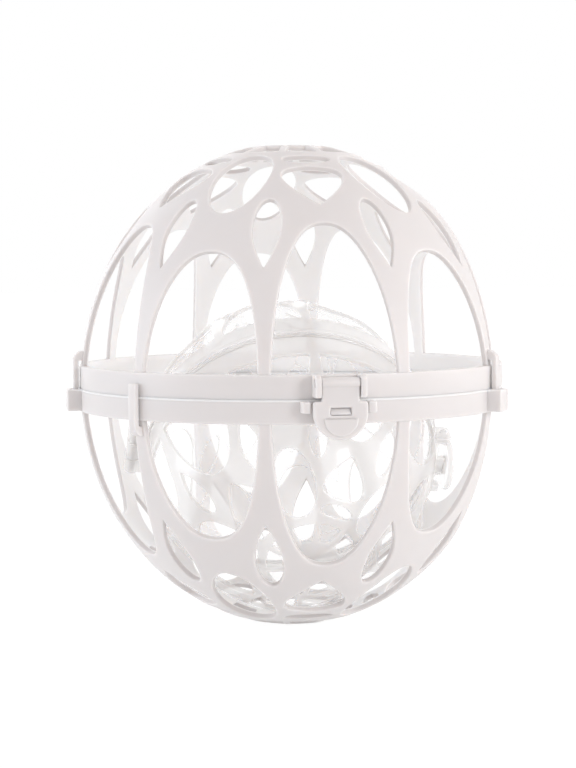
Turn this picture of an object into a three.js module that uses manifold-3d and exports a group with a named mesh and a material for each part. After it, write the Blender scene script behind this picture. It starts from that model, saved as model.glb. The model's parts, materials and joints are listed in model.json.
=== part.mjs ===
// Delicates wash ball: a clear openwork ball lying loose inside a larger white openwork ball.
// Each ball is two half shells with a hinge at the back and a flip latch at the front.
// Millimetres and degrees, +Z up, origin at the middle of the face that the ball stands on.
import * as THREE from 'three';
import { mergeVertices } from 'three/addons/utils/BufferGeometryUtils.js';
import Module from 'manifold-3d';

const wasm = await Module();
wasm.setup();

// Driving dimensions of the outer ball
const OUTER = {
  ringRadius: 78.3, // outside of the ring at the parting plane
  ringHeight: 8.3, // ring of one half
  ringWall: 2.8,
  bandHeight: 8.3, // closed band of one half: here no more than the ring
  ribDrop: 0.4, // the ribs lie this far inside the ring's face
  wall: 2.2, // thickness of the openwork
  halfHeight: 87.5, // parting plane to the flat pole
  hubRadius: 14, // flat disc at each pole
  spokeWidth: 2.6,
  hingeMiddle: 10, // upper half's knuckle
  hingeSide: 8.6, // each of the lower half's two knuckles
  turnSteps: 60, // facets round the ring
  curveSteps: 8, // steps along half an arch
};

// Driving dimensions of the inner ball
const INNER = {
  ringRadius: 55.2,
  ringHeight: 2.4,
  ringWall: 2.8,
  bandHeight: 11.4,
  ribDrop: 0.7,
  wall: 1.8,
  halfHeight: 62.5,
  hubRadius: 10,
  spokeWidth: 2.4,
  hingeMiddle: 7,
  hingeSide: 5.7,
  turnSteps: 50,
  curveSteps: 6,
};

// Openwork shared by both balls, in degrees above the equator and of half width round the axis
const SECTORS = 10;
const SECTOR = 360 / SECTORS;
const ARCH_POWER = 2.4; // fuller than an ellipse
const TALL_ARCH = { halfAngle: 16.5, topAngle: 41.5 };
const SHORT_ARCH = { halfAngle: 16.3, topAngle: 33.7 };
const LEAF = { lowAngle: 29.5, wideAngle: 40.2, highAngle: 49.2, halfAngle: 4.7, shiftAngle: 1.2 };
const OVAL = { lowAngle: 44.8, highAngle: 69.6, halfAngle: 14.2 };
const HEART = { lowAngle: 47.2, wideAngle: 58.6, highAngle: 62.7, halfAngle: 15.6 };
const CRESCENT = { lowAngle: 64.8, highAngle: 69.4, halfAngle: 17 };
const POLE_RING = 72.8; // angle where the windows round the hub begin

// Clearances
const PARTING_GAP = 0.3; // between the two rings
const FIT = 0.3; // round pins, beside tongues and under the inner ball
const SEAT = 0.4; // skin of the ring's wall behind the fittings moulded into it

// Latch: reaches are from the ring's face, heights from the parting plane
const LATCH = {
  neckWidth: 12.8,
  cheekWidth: 2,
  cheekReach: 5.6,
  cheekLow: 0.8,
  cheekHigh: 8.3,
  cheekCorner: 2,
  pivotReach: 3.2,
  pivotHeight: 5.6,
  barrelRadius: 1.9,
  trunnionRadius: 1.3,
  trunnionInset: 0.3, // trunnion's end inside the cheek's face
  standOff: 2.3, // back of the tongue from the ring
  plate: 2.4, // tongue's thickness
  lobeWidth: 18.6,
  lobeTop: -0.4,
  lobeLength: 12.9,
  slotWidth: 7.2,
  slotHeight: 2.6,
  slotTop: -2.5,
  padWidth: 11.6,
  padTop: -5.9,
  padLength: 6.2,
  padRise: 0.5,
};

// Catch nose, and the guides at both sides of the tongue, on the lower ring
const NOSE = { width: 6.4, height: 2, top: -2.8 };
const GUIDE = { width: 2.8, height: 3.8, top: -0.6, reach: 3, gap: 0.6 };

// Hinge: reach is from the ring's face to the pin's axis
const HINGE = {
  reach: 3.3,
  knuckleRadius: 2.9,
  pinRadius: 1.3,
  leaf: 2.4, // height of the leaves that carry the knuckles
  headRadius: 2.1,
  headLength: 0.9,
};

// Alignment fingers, which rise from a rib and cross the parting plane outside the rings
const FINGER = {
  width: 3.4,
  thickness: 2,
  standOff: 0.4, // back of the finger from the ring
  rootHeight: 13.7, // top of the finger's root above the parting plane
  rootThickness: 2,
  corner: 1.8,
  depth: 7.2, // past the parting plane, in a socket
  overlap: 4.5, // past the parting plane, over the bare ring
};
const SOCKET = { height: 7.9, wall: 1.6, frontWall: 1.7, sideSlack: 0.8, backSlack: 1, frontSlack: 0.7 };
const UPPER_FINGERS = [-90, 54]; // azimuths, each with a socket on the lower ring
const LOWER_FINGERS = [-54];

// Rest pose of the inner ball
const INNER_TURN = 92; // latch to the right-hand side
const INNER_TIP = -58; // lower pole tipped to the front
const INNER_LEAN = 3;
const INNER_SHIFT = { x: 0, y: 2 }; // its middle from the outer ball's axis

const BACK = 180; // azimuth of the hinge
const ROUND = 16; // facets of small round parts
const WELD = 1e-4; // vertices nearer than this are one
const SETTLED = 0.01; // the inner ball is let down to within this

const WHITE_PLASTIC = { color: 0xefebe9, roughness: 0.42, metalness: 0 };
const CLEAR_PLASTIC = { color: 0xf3f6f7, roughness: 0.12, metalness: 0, transparent: true, opacity: 0.4 };

const radians = THREE.MathUtils.degToRad;
const degrees = THREE.MathUtils.radToDeg;

// Closed geometry as a solid, with its faces pointing out
function solidOf(geometry) {
  const bare = geometry.index ? geometry.toNonIndexed() : geometry.clone();
  const extras = Object.keys(bare.attributes).filter((name) => name !== 'position');
  extras.forEach((name) => bare.deleteAttribute(name));
  const welded = mergeVertices(bare, WELD);
  const position = welded.attributes.position;
  const corner = [new THREE.Vector3(), new THREE.Vector3(), new THREE.Vector3()];
  const faces = [];
  let volume = 0;
  for (let i = 0; i < welded.index.count; i += 3) {
    const face = [0, 1, 2].map((k) => welded.index.getX(i + k));
    if (new Set(face).size < 3) continue;
    face.forEach((vertex, k) => corner[k].fromBufferAttribute(position, vertex));
    volume += corner[0].dot(corner[1].cross(corner[2]));
    faces.push(face);
  }
  if (volume < 0) faces.forEach((face) => face.reverse());
  return new wasm.Manifold(new wasm.Mesh({
    numProp: 3,
    vertProperties: new Float32Array(position.array),
    triVerts: new Uint32Array(faces.flat()),
  }));
}

// Solid back to a geometry
function geometryOf(solid) {
  const mesh = solid.getMesh();
  const geometry = new THREE.BufferGeometry();
  geometry.setAttribute('position', new THREE.BufferAttribute(new Float32Array(mesh.vertProperties), 3));
  geometry.setIndex(new THREE.BufferAttribute(new Uint32Array(mesh.triVerts), 1));
  geometry.computeVertexNormals();
  return geometry;
}

const joined = (solids) => solids.reduce((whole, next) => whole.add(next));

// Closed profile of (reach, height) points turned round Z
function turned(profile, steps) {
  const points = [...profile, profile[0]].map(([reach, height]) => new THREE.Vector2(reach, height));
  return solidOf(new THREE.LatheGeometry(points, steps).rotateX(Math.PI / 2));
}

// Outline in (reach, height), drawn out across the front from left to right, then turned to an azimuth
function acrossFront(shape, left, right, azimuth = 0) {
  const options = { depth: right - left, bevelEnabled: false, curveSegments: ROUND / 2 };
  const basis = new THREE.Matrix4().makeBasis(
    new THREE.Vector3(0, -1, 0), new THREE.Vector3(0, 0, 1), new THREE.Vector3(-1, 0, 0));
  const geometry = new THREE.ExtrudeGeometry(shape, options).applyMatrix4(basis).translate(right, 0, 0);
  return solidOf(geometry.rotateZ(radians(azimuth)));
}

// Outline in (across, height), drawn outward from one reach to another
function outFromFront(shape, near, far) {
  const options = { depth: far - near, bevelEnabled: false, curveSegments: ROUND / 2 };
  const basis = new THREE.Matrix4().makeBasis(
    new THREE.Vector3(1, 0, 0), new THREE.Vector3(0, 0, 1), new THREE.Vector3(0, -1, 0));
  return solidOf(new THREE.ExtrudeGeometry(shape, options).applyMatrix4(basis).translate(0, -near, 0));
}

// Rectangle between two corners
function rectangle(x0, y0, x1, y1) {
  return new THREE.Shape().moveTo(x0, y0).lineTo(x1, y0).lineTo(x1, y1).lineTo(x0, y1).closePath();
}

// Block: across from left to right, outward from near to far, from low to high
function block(left, right, near, far, low, high, azimuth = 0) {
  return acrossFront(rectangle(near, low, far, high), left, right, azimuth);
}

// Rod across the front at a reach and height
function rod(radius, left, right, reach, height, azimuth = 0) {
  const geometry = new THREE.CylinderGeometry(radius, radius, right - left, ROUND).rotateZ(Math.PI / 2);
  return solidOf(geometry.translate((left + right) / 2, -reach, height).rotateZ(radians(azimuth)));
}

// Reach at which a fitting is rooted in the ring's wall, for the part of it nearest the middle
function rootReach(d, across) {
  return Math.sqrt((d.ringRadius - d.ringWall) ** 2 - across ** 2) + SEAT;
}

// Ovoid of the openwork: passes through the foot of the ribs and the edge of the flat pole
function ovoidOf(d) {
  const radius = d.ringRadius - d.ribDrop;
  const hubAngle = degrees(Math.acos(d.hubRadius / radius));
  return { radius, hubAngle, height: d.halfHeight / Math.sin(radians(hubAngle)) };
}

// Reach of the ovoid at a height, sunk by a depth
function ovoidReach(ovoid, height, depth) {
  return (ovoid.radius - depth) * Math.sqrt(1 - (height / (ovoid.height - depth)) ** 2);
}

// Point of the ovoid at an azimuth and an angle above the equator, sunk by a depth
function ovoidPoint(d, ovoid, azimuth, angle, depth) {
  const reach = (ovoid.radius - depth) * Math.cos(radians(angle));
  const height = Math.min((ovoid.height - depth) * Math.sin(radians(angle)), d.halfHeight - depth);
  return [reach * Math.sin(radians(azimuth)), -reach * Math.cos(radians(azimuth)), height];
}

const steps = (count) => Array.from({ length: count + 1 }, (_, i) => i / count);

// Half an arch as (across, angle) points, from a start angle up to its crown
function archCurve({ halfAngle, topAngle }, start, count) {
  const first = Math.asin((start / topAngle) ** (ARCH_POWER / 2));
  return steps(count).map((share) => {
    const t = first + (Math.PI / 2 - first) * share;
    const across = share < 1 ? halfAngle * Math.cos(t) ** (2 / ARCH_POWER) : 0;
    return [across, topAngle * Math.sin(t) ** (2 / ARCH_POWER)];
  });
}

// Half width round the axis of a window that keeps its form while the ball narrows
const narrowed = (half, wide, angle) => half * Math.cos(radians(wide)) / Math.cos(radians(angle));

// Half an oval window, from its low end to its high end
function ovalCurve({ lowAngle, highAngle, halfAngle }, count) {
  const wide = (lowAngle + highAngle) / 2;
  return steps(count).map((share) => {
    const angle = wide - (highAngle - lowAngle) / 2 * Math.cos(Math.PI * share);
    const inside = share > 0 && share < 1;
    return [inside ? narrowed(halfAngle, wide, angle) * Math.sin(Math.PI * share) : 0, angle];
  });
}

// Half a window that is pointed at its low end and round at its high end
function pointedCurve({ lowAngle, wideAngle, highAngle, halfAngle }, count) {
  const width = (angle) => narrowed(halfAngle, wideAngle, angle);
  const flank = steps(count / 2).slice(0, -1).map((share) => {
    const angle = lowAngle + (wideAngle - lowAngle) * share;
    return [width(angle) * Math.sin(Math.PI / 2 * share), angle];
  });
  const crown = steps(count / 2).map((share) => {
    const angle = wideAngle + (highAngle - wideAngle) * Math.sin(Math.PI / 2 * share);
    return [share < 1 ? width(angle) * Math.cos(Math.PI / 2 * share) : 0, angle];
  });
  return [...flank, ...crown];
}

// Half of a window between the pole ring and the hub, beside a spoke
function hubWindow(d, ovoid) {
  const edge = (angle) => {
    const reach = ovoid.radius * Math.cos(radians(angle));
    return SECTOR / 2 - degrees(Math.asin(d.spokeWidth / 2 / reach));
  };
  const low = edge(POLE_RING);
  const high = edge(ovoid.hubAngle);
  return [
    [0, POLE_RING], [low / 2, POLE_RING], [low, POLE_RING],
    [high, ovoid.hubAngle], [high / 2, ovoid.hubAngle], [0, ovoid.hubAngle],
  ];
}

// One openwork cell, from the middle of a tall arch to the middle of a short one
function cellOutline(d, ovoid) {
  const foot = degrees(Math.asin((d.bandHeight - d.wall) / ovoid.height));
  const tallSide = [
    ...archCurve(TALL_ARCH, foot, d.curveSteps),
    ...pointedCurve(HEART, d.curveSteps),
    ...ovalCurve(CRESCENT, d.curveSteps / 2),
    ...hubWindow(d, ovoid),
  ];
  const shortSide = [
    ...archCurve(SHORT_ARCH, foot, d.curveSteps),
    ...ovalCurve(OVAL, d.curveSteps),
    ...hubWindow(d, ovoid),
  ];
  const mirrored = shortSide.map(([across, angle]) => [SECTOR - across, angle]).reverse();
  return [...tallSide, [0, 90], ...mirrored];
}

// Leaf window in the cell's rib
function leafOutline(d) {
  const right = pointedCurve(LEAF, d.curveSteps);
  const left = right.slice(1, -1).map(([across, angle]) => [-across, angle]).reverse();
  return [...right, ...left].map(([across, angle]) => [SECTOR / 2 + LEAF.shiftAngle + across, angle]);
}

// Place of an (azimuth, angle) point when the dome is spread out flat about its pole
function spread([azimuth, angle]) {
  return new THREE.Vector2(0, 90 - angle).rotateAround(new THREE.Vector2(), -radians(azimuth));
}

// Loop turned the wanted way when spread out flat
function wound(loop, clockwise) {
  return THREE.ShapeUtils.isClockWise(loop.map(spread)) === clockwise ? loop : [...loop].reverse();
}

// Openwork dome: a cell cut in the flat, laid on both faces of the wall and repeated round the axis
function dome(d, turnedOver) {
  const ovoid = ovoidOf(d);
  const outline = wound(cellOutline(d, ovoid), false);
  const leaf = wound(leafOutline(d), true);
  const points = [...outline, ...leaf];
  const faces = THREE.ShapeUtils.triangulateShape(outline.map(spread), [leaf.map(spread)])
    .map((face) => wound(face.map((i) => points[i]), false));
  const onSeam = (p, q) => p[1] === 90 || q[1] === 90 || (p[0] === q[0] && p[0] % SECTOR === 0);
  const edges = [outline, leaf].flatMap((loop) => loop.map((p, i) => [p, loop[(i + 1) % loop.length]]))
    .filter(([p, q]) => !onSeam(p, q));
  const outside = (p) => [...p, 0];
  const inside = (p) => [...p, d.wall];
  const cell = [
    ...faces.map((face) => face.map(outside)),
    ...faces.map((face) => face.map(inside).reverse()),
    ...edges.map(([p, q]) => [outside(q), outside(p), inside(p)]),
    ...edges.map(([p, q]) => [outside(q), inside(p), inside(q)]),
  ];
  const vertices = [];
  for (let sector = 0; sector < SECTORS; sector += 1) {
    const flipped = sector % 2 === 1;
    const place = (azimuth) => (flipped ? (sector + 1) * SECTOR - azimuth : sector * SECTOR + azimuth);
    for (const face of cell) {
      const ring = flipped ? [...face].reverse() : face;
      for (const [azimuth, angle, depth] of ring) {
        vertices.push(...ovoidPoint(d, ovoid, place(azimuth), angle, depth));
      }
    }
  }
  const geometry = new THREE.BufferGeometry();
  geometry.setAttribute('position', new THREE.Float32BufferAttribute(vertices, 3));
  return solidOf(turnedOver ? geometry.rotateY(Math.PI) : geometry);
}

// Ring at the parting plane with the closed band above it; side is 1 for the upper half and -1 for the lower
function band(d, side) {
  const ovoid = ovoidOf(d);
  const low = PARTING_GAP / 2;
  const closed = d.bandHeight > d.ringHeight;
  const heights = closed ? steps(2).map((share) => d.ringHeight + (d.bandHeight - d.ringHeight) * share) : [];
  const inner = d.ringRadius - d.ringWall;
  const profile = [
    [inner, low], [d.ringRadius, low], [d.ringRadius, d.ringHeight],
    ...heights.map((height) => [ovoidReach(ovoid, height, 0), height]),
    ...heights.map((height) => [ovoidReach(ovoid, height, d.wall), height]).reverse(),
    ...(closed ? [] : [[inner, d.ringHeight]]),
  ];
  return turned(profile.map(([reach, height]) => [reach, side * height]), d.turnSteps);
}

// Knuckle with the leaf that carries it; side is 1 for the upper half and -1 for the lower
function knuckle(d, left, right, side) {
  const nearest = left * right < 0 ? 0 : Math.min(Math.abs(left), Math.abs(right));
  const axis = d.ringRadius + HINGE.reach;
  const edges = [side * PARTING_GAP / 2, side * HINGE.leaf];
  const leaf = block(left, right, rootReach(d, nearest), axis, Math.min(...edges), Math.max(...edges), BACK);
  const bore = rod(HINGE.pinRadius + FIT, left - FIT, right + FIT, axis, 0, BACK);
  return leaf.add(rod(HINGE.knuckleRadius, left, right, axis, 0, BACK)).subtract(bore);
}

// Alignment finger of the upper half, or of the lower half when side is -1
function finger(d, azimuth, past, side) {
  const ovoid = ovoidOf(d);
  const out = d.ringRadius + FINGER.standOff + FINGER.thickness;
  const under = FINGER.rootHeight - FINGER.rootThickness;
  const root = ovoidReach(ovoid, FINGER.rootHeight, d.wall / 2);
  const shape = new THREE.Shape().moveTo(root, under).lineTo(out - FINGER.thickness, under)
    .lineTo(out - FINGER.thickness, -past).lineTo(out, -past).lineTo(out, FINGER.rootHeight - FINGER.corner)
    .absarc(out - FINGER.corner, FINGER.rootHeight - FINGER.corner, FINGER.corner, 0, Math.PI / 2)
    .lineTo(root, FINGER.rootHeight).closePath();
  const outline = shape.getPoints(ROUND / 4).map((p) => new THREE.Vector2(p.x, side * p.y));
  return acrossFront(new THREE.Shape(outline), -FINGER.width / 2, FINGER.width / 2, azimuth);
}

// Socket on the lower ring, round the end of an upper finger
function socket(d, azimuth) {
  const back = d.ringRadius + FINGER.standOff;
  const front = back + FINGER.thickness + SOCKET.frontSlack;
  const room = FINGER.width / 2 + SOCKET.sideSlack;
  const half = room + SOCKET.wall;
  const high = -PARTING_GAP / 2;
  const low = high - SOCKET.height;
  const body = block(-half, half, rootReach(d, 0), front + SOCKET.frontWall, low, high, azimuth);
  return body.subtract(block(-room, room, back - SOCKET.backSlack, front, low - FIT, high + FIT, azimuth));
}

// The two cheeks on the upper ring that hold the latch tongue's trunnions
function cheeks(d) {
  const inner = LATCH.neckWidth / 2 + FIT;
  const outer = inner + LATCH.cheekWidth;
  const near = rootReach(d, inner);
  const far = d.ringRadius + LATCH.cheekReach;
  const shape = new THREE.Shape().moveTo(near, LATCH.cheekLow).lineTo(far, LATCH.cheekLow)
    .lineTo(far, LATCH.cheekHigh - LATCH.cheekCorner)
    .absarc(far - LATCH.cheekCorner, LATCH.cheekHigh - LATCH.cheekCorner, LATCH.cheekCorner, 0, Math.PI / 2)
    .lineTo(near, LATCH.cheekHigh).closePath();
  const bore = rod(LATCH.trunnionRadius + FIT, -outer - FIT, outer + FIT,
    d.ringRadius + LATCH.pivotReach, LATCH.pivotHeight);
  return acrossFront(shape, inner, outer).add(acrossFront(shape, -outer, -inner)).subtract(bore);
}

// Plate with a straight top and a round lower end
function tongueShape(width, top, length) {
  const half = width / 2;
  const centre = top - (length - half);
  return new THREE.Shape().moveTo(half, top).lineTo(-half, top).lineTo(-half, centre)
    .absarc(0, centre, half, Math.PI, 2 * Math.PI).closePath();
}

// Latch tongue: barrel and trunnions at the top, neck, and a slotted lobe with a thumb pad
function latchTongue(d) {
  const pivot = [d.ringRadius + LATCH.pivotReach, LATCH.pivotHeight];
  const neck = LATCH.neckWidth / 2;
  const pin = neck + FIT + LATCH.cheekWidth - LATCH.trunnionInset;
  const back = d.ringRadius + LATCH.standOff;
  const face = back + LATCH.plate;
  const slotLow = LATCH.slotTop - LATCH.slotHeight;
  const slotHalf = LATCH.slotWidth / 2;
  const slot = block(-slotHalf, slotHalf, back - FIT, face + FIT, slotLow, LATCH.slotTop);
  return joined([
    rod(LATCH.barrelRadius, -neck, neck, ...pivot),
    rod(LATCH.trunnionRadius, -pin, pin, ...pivot),
    block(-neck, neck, back, face, LATCH.lobeTop - LATCH.plate / 2, LATCH.pivotHeight),
    outFromFront(tongueShape(LATCH.lobeWidth, LATCH.lobeTop, LATCH.lobeLength), back, face),
    outFromFront(tongueShape(LATCH.padWidth, LATCH.padTop, LATCH.padLength), back, face + LATCH.padRise),
  ]).subtract(slot);
}

// Nose under the tongue's slot and the guides beside its lobe
function catchFittings(d) {
  const inner = LATCH.lobeWidth / 2 + GUIDE.gap;
  const outer = inner + GUIDE.width;
  const far = d.ringRadius + GUIDE.reach;
  const guideLow = GUIDE.top - GUIDE.height;
  const noseFar = d.ringRadius + LATCH.standOff - FIT;
  return [
    block(-NOSE.width / 2, NOSE.width / 2, rootReach(d, 0), noseFar, NOSE.top - NOSE.height, NOSE.top),
    block(inner, outer, rootReach(d, inner), far, guideLow, GUIDE.top),
    block(-outer, -inner, rootReach(d, inner), far, guideLow, GUIDE.top),
  ];
}

// Upper half shell
function upperShell(d, fingers) {
  const middle = d.hingeMiddle / 2;
  return joined([
    band(d, 1), dome(d, false), knuckle(d, -middle, middle, 1), cheeks(d),
    ...fingers.map((azimuth) => finger(d, azimuth, FINGER.depth, 1)),
  ]);
}

// Lower half shell
function lowerShell(d, fingers, sockets) {
  const start = d.hingeMiddle / 2 + FIT;
  const end = start + d.hingeSide;
  return joined([
    band(d, -1), dome(d, true), knuckle(d, start, end, -1), knuckle(d, -end, -start, -1), ...catchFittings(d),
    ...sockets.map((azimuth) => socket(d, azimuth)),
    ...fingers.map((azimuth) => finger(d, azimuth, FINGER.overlap, -1)),
  ]);
}

// Hinge pin with a head at one end
function hingePin(d) {
  const end = d.hingeMiddle / 2 + FIT + d.hingeSide;
  const axis = d.ringRadius + HINGE.reach;
  const shank = rod(HINGE.pinRadius, -end, end + FIT + HINGE.headLength, axis, 0, BACK);
  return shank.add(rod(HINGE.headRadius, end + FIT, end + FIT + HINGE.headLength, axis, 0, BACK));
}

// Height of the inner ball's middle above the parting plane once it is let down on the outer floor
function restHeight(outerSolids, innerSolids, place) {
  const shell = wasm.Manifold.compose(Object.values(outerSolids));
  const loose = wasm.Manifold.compose(Object.values(innerSolids)).transform(place.elements);
  let touching = -OUTER.halfHeight;
  let clear = 0;
  while (clear - touching > SETTLED) {
    const height = (touching + clear) / 2;
    if (shell.intersect(loose.translate(0, 0, height)).isEmpty()) clear = height;
    else touching = height;
  }
  return clear + FIT;
}

// Named mesh with a material of its own
function piece(name, solid, look) {
  const mesh = new THREE.Mesh(geometryOf(solid), new THREE.MeshStandardMaterial(look));
  mesh.name = name;
  return mesh;
}

// Solids of one ball about the middle of its parting plane, by name
function ballSolids(d, upperFingers, lowerFingers) {
  return {
    lower_shell: lowerShell(d, lowerFingers, upperFingers),
    upper_shell: upperShell(d, upperFingers),
    hinge_pin: hingePin(d),
    latch_tongue: latchTongue(d),
  };
}

// Named meshes of one ball
function ball(prefix, solids, look) {
  const group = new THREE.Group();
  Object.entries(solids).forEach(([name, solid]) => group.add(piece(`${prefix}_${name}`, solid, look)));
  return group;
}

const outerSolids = ballSolids(OUTER, UPPER_FINGERS, LOWER_FINGERS);
const outerBall = ball('outer', outerSolids, WHITE_PLASTIC);
outerBall.position.z = OUTER.halfHeight;

const innerSolids = ballSolids(INNER, [], []);
const innerBall = ball('inner', innerSolids, CLEAR_PLASTIC);
innerBall.rotation.set(radians(INNER_TIP), radians(INNER_LEAN), radians(INNER_TURN));
innerBall.position.set(INNER_SHIFT.x, INNER_SHIFT.y, 0);
innerBall.updateMatrix();
innerBall.position.z = restHeight(outerSolids, innerSolids, innerBall.matrix);
outerBall.add(innerBall);

const washBall = new THREE.Group();
washBall.add(outerBall);

export default washBall;
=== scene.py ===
"""Delicates wash ball: a white openwork ball with a smaller clear one lying loose inside it.

Lengths are in millimetres and angles in degrees about the middle of a ball's own parting plane, with +Z
to its upper pole and -Y to its latch. A finished mesh is then put in its place in the frame, in metres.
The studio is in metres.
"""

from __future__ import annotations

import json
import logging
import math
from dataclasses import dataclass
from enum import Enum

import bmesh
import bpy
from bmesh.types import BMesh
from mathutils import Matrix, Vector


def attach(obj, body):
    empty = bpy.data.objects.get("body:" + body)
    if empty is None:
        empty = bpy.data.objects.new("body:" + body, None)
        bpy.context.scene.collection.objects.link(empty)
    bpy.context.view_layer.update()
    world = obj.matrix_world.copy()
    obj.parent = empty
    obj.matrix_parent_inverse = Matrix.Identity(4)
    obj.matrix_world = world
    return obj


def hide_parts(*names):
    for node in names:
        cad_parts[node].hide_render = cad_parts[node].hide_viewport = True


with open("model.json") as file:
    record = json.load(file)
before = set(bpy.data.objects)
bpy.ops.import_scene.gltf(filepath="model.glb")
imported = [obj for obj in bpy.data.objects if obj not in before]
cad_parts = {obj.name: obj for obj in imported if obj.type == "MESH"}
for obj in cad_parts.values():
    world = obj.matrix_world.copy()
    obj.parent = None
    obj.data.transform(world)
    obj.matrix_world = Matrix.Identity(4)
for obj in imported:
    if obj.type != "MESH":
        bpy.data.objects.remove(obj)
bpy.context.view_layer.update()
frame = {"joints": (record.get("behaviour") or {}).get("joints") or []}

LOG = logging.getLogger("wash_ball")
METRES = 0.001  # in a millimetre
SHARP_ANGLE = math.radians(38)  # between two faces, from which their edge is shaded as sharp
BACK = 180.0  # azimuth of the hinge
PARTING_GAP = 0.03  # between the two rings
FIT = 0.3  # clearance of a part that turns
SEAT = 0.4  # from the inside of the ring to the root of a fitting
RIM_PER_ROUNDING = 1.3  # width of a plate's rim over the width of its rounding
REFINE_PASSES = 7
RUN_STEPS = 120  # steps in a dense run of a window's outline
SHARES = [i / RUN_STEPS for i in range(RUN_STEPS + 1)]
PAINTED_LIGHT_AND_SHADE = "painted_light_and_shade"  # attribute that places painted light inside a ball and painted shade on its windows' edges

Curve = list[tuple[float, float]]
Triple = tuple[float, float, float]
Colour = tuple[float, float, float, float]


class Half(Enum):
    """Half of a ball; the value is the sign of its height."""

    UPPER = 1
    LOWER = -1


class Draw(Enum):
    """Way in which a flat outline is drawn out into a solid."""

    ACROSS = "outline of reach and height, drawn across the front"
    OUTWARD = "outline of across and height, drawn away from the axis"
    UPWARD = "outline of across and reach, drawn up"

    @property
    def basis(self) -> Matrix:
        """Turn from the outline's two ways and its depth to x, y and z.

        Returns:
            The turn, as a matrix of four rows.
        """
        columns = {
            Draw.ACROSS: ((0, -1, 0), (0, 0, 1), (1, 0, 0)),
            Draw.OUTWARD: ((1, 0, 0), (0, 0, 1), (0, -1, 0)),
            Draw.UPWARD: ((1, 0, 0), (0, -1, 0), (0, 0, 1)),
        }[self]
        return Matrix(columns).transposed().to_4x4()


def arc(centre: tuple[float, float], radius: float, first: float, last: float, count: int) -> Curve:
    """Points along a circular arc.

    Args:
        centre: middle of the circle.
        radius: radius of the circle.
        first: angle at which the arc starts.
        last: angle at which it ends.
        count: number of steps.

    Returns:
        The points, both ends among them.
    """
    angles = [math.radians(first + (last - first) * i / count) for i in range(count + 1)]
    return [(centre[0] + radius * math.cos(a), centre[1] + radius * math.sin(a)) for a in angles]


def circle(centre: tuple[float, float], radius: float, count: int) -> Curve:
    """Points round a circle, as many as are counted."""
    return arc(centre, radius, 0, 360 - 360 / count, count - 1)


def box(left: float, low: float, right: float, high: float) -> Curve:
    """Corners of an upright rectangle."""
    return [(left, low), (right, low), (right, high), (left, high)]


def evenly(points: list[Vector], spacing: float) -> list[Vector]:
    """Places points at equal distances along a dense curve.

    Args:
        points: the dense curve.
        spacing: wanted distance between points.

    Returns:
        The new points, with both ends of the curve kept.
    """
    lengths = [0.0]
    for before, after in zip(points, points[1:]):
        lengths.append(lengths[-1] + (after - before).length)
    count = max(2, round(lengths[-1] / spacing))
    placed = []
    place = 0
    for i in range(count + 1):
        along = lengths[-1] * i / count
        while place < len(points) - 2 and lengths[place + 1] < along:
            place += 1
        share = (along - lengths[place]) / max(lengths[place + 1] - lengths[place], 1e-9)
        placed.append(points[place].lerp(points[place + 1], share))
    return placed


def outline_mesh(loops: list[list[Vector]]) -> BMesh:
    """Lays closed outlines in the flat.

    Args:
        loops: points of each outline, the outermost first.

    Returns:
        A mesh of edges only.
    """
    mesh = bmesh.new()
    for loop in loops:
        verts = [mesh.verts.new(point) for point in loop]
        for before, after in zip(verts, verts[1:] + verts[:1]):
            mesh.edges.new((before, after))
    return mesh


def fill_with_rim(mesh: BMesh, rim: float) -> None:
    """Fills outlines with faces and sets a narrow rim along every edge, for its rounding to run in.

    Args:
        mesh: mesh of edges in the flat.
        rim: width of the rim.
    """
    bmesh.ops.triangle_fill(mesh, use_beauty=True, use_dissolve=False, edges=mesh.edges[:], normal=(0, 0, 1))
    bmesh.ops.inset_region(mesh, faces=mesh.faces[:], use_boundary=True, use_even_offset=True, thickness=rim)
    bmesh.ops.recalc_face_normals(mesh, faces=mesh.faces[:])
    if sum(face.normal.z for face in mesh.faces) < 0:
        bmesh.ops.reverse_faces(mesh, faces=mesh.faces[:])


def refine(mesh: BMesh, longest: float) -> None:
    """Splits the long edges inside a filled outline, so that it can be bent without flats.

    Args:
        mesh: filled outline in the flat.
        longest: longest edge that stays.
    """
    for _ in range(REFINE_PASSES):
        long_edges = [edge for edge in mesh.edges if edge.calc_length() > longest and not edge.is_boundary]
        if not long_edges:
            return
        bmesh.ops.subdivide_edges(mesh, edges=long_edges, cuts=1)
        inner = [face for face in mesh.faces if not any(edge.is_boundary for edge in face.edges)]
        many_sided = [face for face in inner if len(face.verts) > 3]
        bmesh.ops.triangulate(mesh, faces=many_sided, quad_method="SHORT_EDGE")


def round_edges(mesh: BMesh, radius: float, segments: int = 2, sharper_than: float = 35.0) -> None:
    """Rounds the sharp edges of a closed mesh.

    Args:
        mesh: closed mesh with its faces pointing out.
        radius: width of the rounding.
        segments: number of steps in it.
        sharper_than: angle between faces from which an edge counts as sharp.
    """
    limit = math.radians(sharper_than)
    sharp = [edge for edge in mesh.edges if edge.is_manifold and edge.calc_face_angle() > limit]
    bmesh.ops.bevel(
        mesh, geom=sharp, offset=radius, offset_type="OFFSET", segments=segments, profile=0.5,
        affect="EDGES", clamp_overlap=False, material=-1,
    )


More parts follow.
